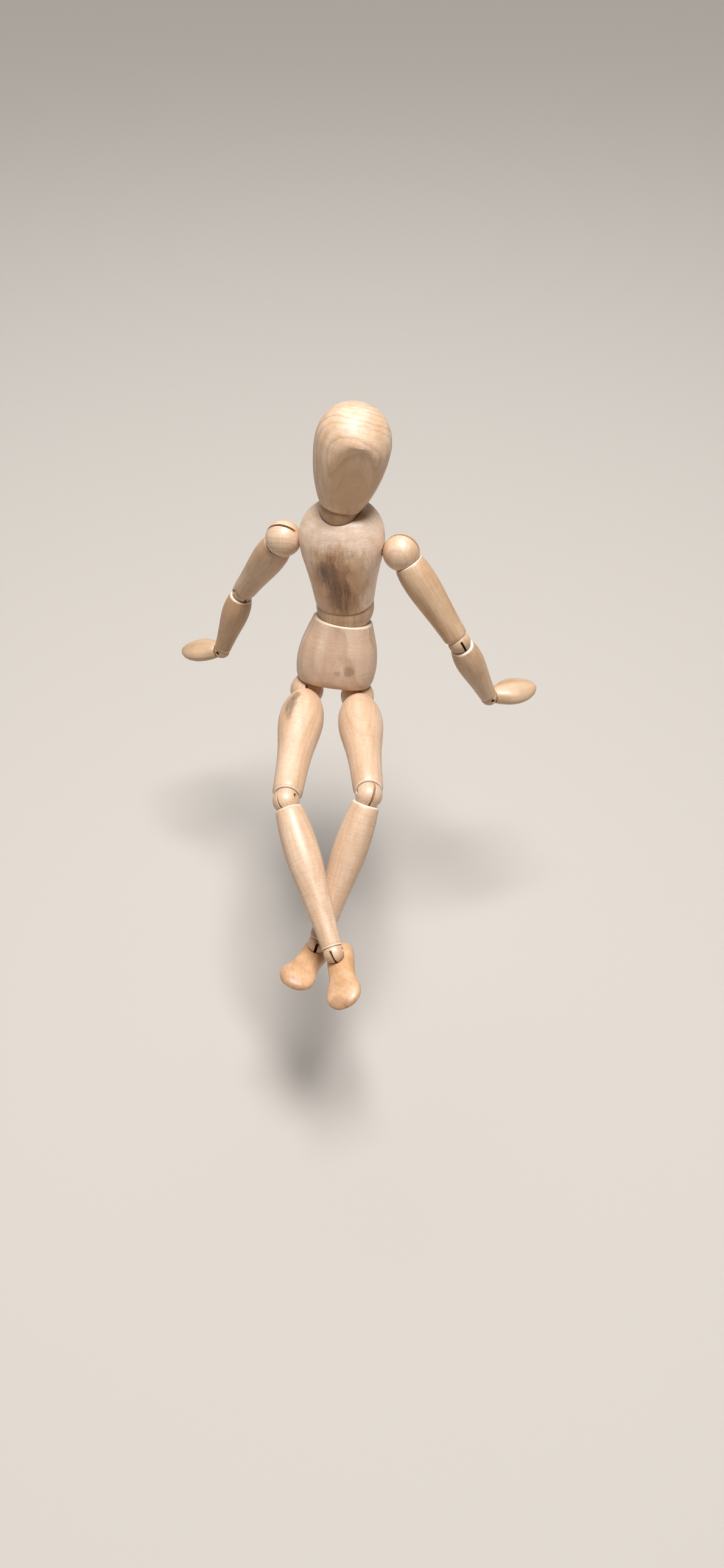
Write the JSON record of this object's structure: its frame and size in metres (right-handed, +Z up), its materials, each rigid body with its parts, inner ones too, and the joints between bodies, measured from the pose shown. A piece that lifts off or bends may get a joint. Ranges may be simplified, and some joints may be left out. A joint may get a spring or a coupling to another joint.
{
  "type": "artist mannequin",
  "caption": "Seated turned-wood lay figure: egg head, chest, pelvis, arms, legs, hands and feet on slotted wooden ball joints with cross pins and tension springs.",
  "frame": {"origin": "centre of the flat underside of the pelvis, which sits on the seat in the pose shown", "axes": "+Z up, the figure faces -Y, its own left side is towards +X; the pelvis leans back about 20 degrees, so its underside faces down and a little forward"},
  "size_m": [0.1914, 0.2228, 0.221],
  "materials": {
    "wood": "satin",
    "wood_arm": "satin",
    "wood_foot": "satin",
    "pin_steel": "satin",
    "spring_steel": "satin"
  },
  "bodies": {
    "pelvis": {"pelvis": "wood", "pelvis_spring": "spring_steel", "hip_spring": "spring_steel"},
    "waist": {"waist_ball": "wood", "waist_pin": "pin_steel"},
    "chest": {"chest": "wood", "chest_spring": "spring_steel", "shoulder_spring": "spring_steel"},
    "neck": {"neck_ball": "wood", "neck_pin": "pin_steel"},
    "head": {"head": "wood", "head_spring": "spring_steel"},
    "shoulder_right": {"shoulder_ball_right": "wood", "shoulder_pin_right": "pin_steel"},
    "upper_arm_right": {"upper_arm_right": "wood_arm", "upper_arm_spring_right": "spring_steel"},
    "elbow_right": {"elbow_ball_right": "wood", "elbow_pin_right": "pin_steel"},
    "forearm_right": {"forearm_right": "wood_arm", "forearm_spring_right": "spring_steel"},
    "wrist_right": {"wrist_ball_right": "wood", "wrist_pin_right": "pin_steel"},
    "hand_right": {"hand_right": "wood_arm", "hand_spring_right": "spring_steel"},
    "hip_right": {"hip_ball_right": "wood", "hip_pin_right": "pin_steel"},
    "thigh_right": {"thigh_right": "wood", "thigh_spring_right": "spring_steel"},
    "knee_right": {"knee_ball_right": "wood", "knee_pin_right": "pin_steel"},
    "shin_right": {"shin_right": "wood", "shin_spring_right": "spring_steel"},
    "ankle_right": {"ankle_ball_right": "wood", "ankle_pin_right": "pin_steel"},
    "foot_right": {"foot_right": "wood_foot", "foot_spring_right": "spring_steel"},
    "shoulder_left": {"shoulder_ball_left": "wood", "shoulder_pin_left": "pin_steel"},
    "upper_arm_left": {"upper_arm_left": "wood_arm", "upper_arm_spring_left": "spring_steel"},
    "elbow_left": {"elbow_ball_left": "wood", "elbow_pin_left": "pin_steel"},
    "forearm_left": {"forearm_left": "wood_arm", "forearm_spring_left": "spring_steel"},
    "wrist_left": {"wrist_ball_left": "wood", "wrist_pin_left": "pin_steel"},
    "hand_left": {"hand_left": "wood_arm", "hand_spring_left": "spring_steel"},
    "hip_left": {"hip_ball_left": "wood", "hip_pin_left": "pin_steel"},
    "thigh_left": {"thigh_left": "wood", "thigh_spring_left": "spring_steel"},
    "knee_left": {"knee_ball_left": "wood", "knee_pin_left": "pin_steel"},
    "shin_left": {"shin_left": "wood", "shin_spring_left": "spring_steel"},
    "ankle_left": {"ankle_ball_left": "wood", "ankle_pin_left": "pin_steel"},
    "foot_left": {"foot_left": "wood_foot", "foot_spring_left": "spring_steel"}
  },
  "joints": [
    {"name": "waist_twist", "type": "hinge", "parent": "pelvis", "child": "waist", "pos_m": [0.00628, 0.01291, 0.03989], "axis": [0.1482, 0.3046, 0.9409], "range_deg": [-30, 30], "deforming": ["pelvis_spring"]},
    {"name": "waist_bend", "type": "hinge", "parent": "waist", "child": "chest", "pos_m": [0.00628, 0.01291, 0.03989], "axis": [0.8564, -0.5154, 0.0319], "range_deg": [-45, 10], "deforming": ["chest_spring"]},
    {"name": "neck_twist", "type": "hinge", "parent": "chest", "child": "neck", "pos_m": [0.00416, 0.0128, 0.09505], "axis": [-0.0385, -0.0021, 0.9993], "range_deg": [-60, 60]},
    {"name": "neck_bend", "type": "hinge", "parent": "neck", "child": "head", "pos_m": [0.00416, 0.0128, 0.09505], "axis": [-0.3763, 0.9264, -0.0126], "range_deg": [-30, 1], "deforming": ["head_spring"]},
    {"name": "shoulder_twist_right", "type": "hinge", "parent": "chest", "child": "shoulder_right", "pos_m": [-0.02349, 0.0208, 0.07359], "axis": [-0.9624, 0.2692, -0.0365], "range_deg": [-90, 90], "deforming": ["shoulder_spring"]},
    {"name": "shoulder_bend_right", "type": "hinge", "parent": "shoulder_right", "child": "upper_arm_right", "pos_m": [-0.02349, 0.0208, 0.07359], "axis": [-0.2518, -0.9344, -0.2522], "range_deg": [-125, 26], "deforming": ["upper_arm_spring_right"]},
    {"name": "elbow_twist_right", "type": "hinge", "parent": "upper_arm_right", "child": "elbow_right", "pos_m": [-0.04751, 0.03897, 0.03022], "axis": [-0.4548, 0.3442, -0.8213], "range_deg": [-90, 90]},
    {"name": "elbow_bend_right", "type": "hinge", "parent": "elbow_right", "child": "forearm_right", "pos_m": [-0.04751, 0.03897, 0.03022], "axis": [-0.8541, -0.4297, 0.2929], "range_deg": [-75, 36], "deforming": ["forearm_spring_right"]},
    {"name": "wrist_twist_right", "type": "hinge", "parent": "forearm_right", "child": "wrist_right", "pos_m": [-0.06204, 0.04074, -0.00957], "axis": [-0.3428, 0.0417, -0.9385], "range_deg": [-90, 90]},
    {"name": "wrist_bend_right", "type": "hinge", "parent": "wrist_right", "child": "hand_right", "pos_m": [-0.06204, 0.04074, -0.00957], "axis": [0.4914, 0.8594, -0.1413], "range_deg": [-110, 10], "deforming": ["hand_spring_right"]},
    {"name": "hip_twist_right", "type": "hinge", "parent": "pelvis", "child": "hip_right", "pos_m": [-0.01382, -0.00139, -0.0029], "axis": [-0.1482, -0.3046, -0.9409], "range_deg": [0, 45], "deforming": ["hip_spring"]},
    {"name": "hip_bend_right", "type": "hinge", "parent": "hip_right", "child": "thigh_right", "pos_m": [-0.01382, -0.00139, -0.0029], "axis": [-0.9879, 0.0887, 0.1269], "range_deg": [0, 10], "deforming": ["thigh_spring_right"]},
    {"name": "knee_twist_right", "type": "hinge", "parent": "thigh_right", "child": "knee_right", "pos_m": [-0.02142, -0.07769, -0.00876], "axis": [-0.0989, -0.9922, -0.0762], "range_deg": [-6, 60]},
    {"name": "knee_bend_right", "type": "hinge", "parent": "knee_right", "child": "shin_right", "pos_m": [-0.02142, -0.07769, -0.00876], "axis": [0.7545, -0.1247, 0.6444], "range_deg": [-90, 1], "deforming": ["shin_spring_right"]},
    {"name": "ankle_twist_right", "type": "hinge", "parent": "shin_right", "child": "ankle_right", "pos_m": [0.00168, -0.13822, -0.04752], "axis": [0.306, -0.8017, -0.5134], "range_deg": [-45, 45]},
    {"name": "ankle_bend_right", "type": "hinge", "parent": "ankle_right", "child": "foot_right", "pos_m": [0.00168, -0.13822, -0.04752], "axis": [0.906, 0.0796, 0.4157], "range_deg": [-95, 16], "deforming": ["foot_spring_right"]},
    {"name": "shoulder_twist_left", "type": "hinge", "parent": "chest", "child": "shoulder_left", "pos_m": [0.03338, 0.00489, 0.07575], "axis": [0.9624, -0.2692, 0.0365], "range_deg": [-90, 90], "deforming": ["shoulder_spring"]},
    {"name": "shoulder_bend_left", "type": "hinge", "parent": "shoulder_left", "child": "upper_arm_left", "pos_m": [0.03338, 0.00489, 0.07575], "axis": [0.2714, 0.9479, -0.1667], "range_deg": [-125, 27], "deforming": ["upper_arm_spring_left"]},
    {"name": "elbow_twist_left", "type": "hinge", "parent": "upper_arm_left", "child": "elbow_left", "pos_m": [0.06237, -0.01067, 0.03445], "axis": [0.549, -0.2947, -0.7822], "range_deg": [-90, 90]},
    {"name": "elbow_bend_left", "type": "hinge", "parent": "elbow_left", "child": "forearm_left", "pos_m": [0.06237, -0.01067, 0.03445], "axis": [0.815, 0.3963, 0.4227], "range_deg": [-80, 32], "deforming": ["forearm_spring_left"]},
    {"name": "wrist_twist_left", "type": "hinge", "parent": "forearm_left", "child": "wrist_left", "pos_m": [0.08017, -0.00648, -0.00381], "axis": [0.4198, 0.099, -0.9022], "range_deg": [-90, 90]},
    {"name": "wrist_bend_left", "type": "hinge", "parent": "wrist_left", "child": "hand_left", "pos_m": [0.08017, -0.00648, -0.00381], "axis": [0.4026, -0.9112, 0.0873], "range_deg": [-115, 4], "deforming": ["hand_spring_left"]},
    {"name": "hip_twist_left", "type": "hinge", "parent": "pelvis", "child": "hip_left", "pos_m": [0.01228, -0.00178, -0.00688], "axis": [-0.1482, -0.3046, -0.9409], "range_deg": [-45, 0], "deforming": ["hip_spring"]},
    {"name": "hip_bend_left", "type": "hinge", "parent": "hip_left", "child": "thigh_left", "pos_m": [0.01228, -0.00178, -0.00688], "axis": [-0.982, -0.0672, 0.1764], "range_deg": [-60, 1], "deforming": ["thigh_spring_left"]},
    {"name": "knee_twist_left", "type": "hinge", "parent": "thigh_left", "child": "knee_left", "pos_m": [0.01796, -0.07843, -0.00443], "axis": [0.0739, -0.9968, 0.0319], "range_deg": [-1, 60]},
    {"name": "knee_bend_left", "type": "hinge", "parent": "knee_left", "child": "shin_left", "pos_m": [0.01796, -0.07843, -0.00443], "axis": [0.9032, 0.0533, -0.426], "range_deg": [-3, 6], "deforming": ["shin_spring_left"]},
    {"name": "ankle_twist_left", "type": "hinge", "parent": "shin_left", "child": "ankle_left", "pos_m": [-0.00648, -0.12125, -0.06161], "axis": [-0.3237, -0.5671, -0.7573], "range_deg": [-45, 45]},
    {"name": "ankle_bend_left", "type": "hinge", "parent": "ankle_left", "child": "foot_left", "pos_m": [-0.00648, -0.12125, -0.06161], "axis": [0.9452, -0.2298, -0.2319], "range_deg": [-40, 40], "deforming": ["foot_spring_left"]}
  ]
}
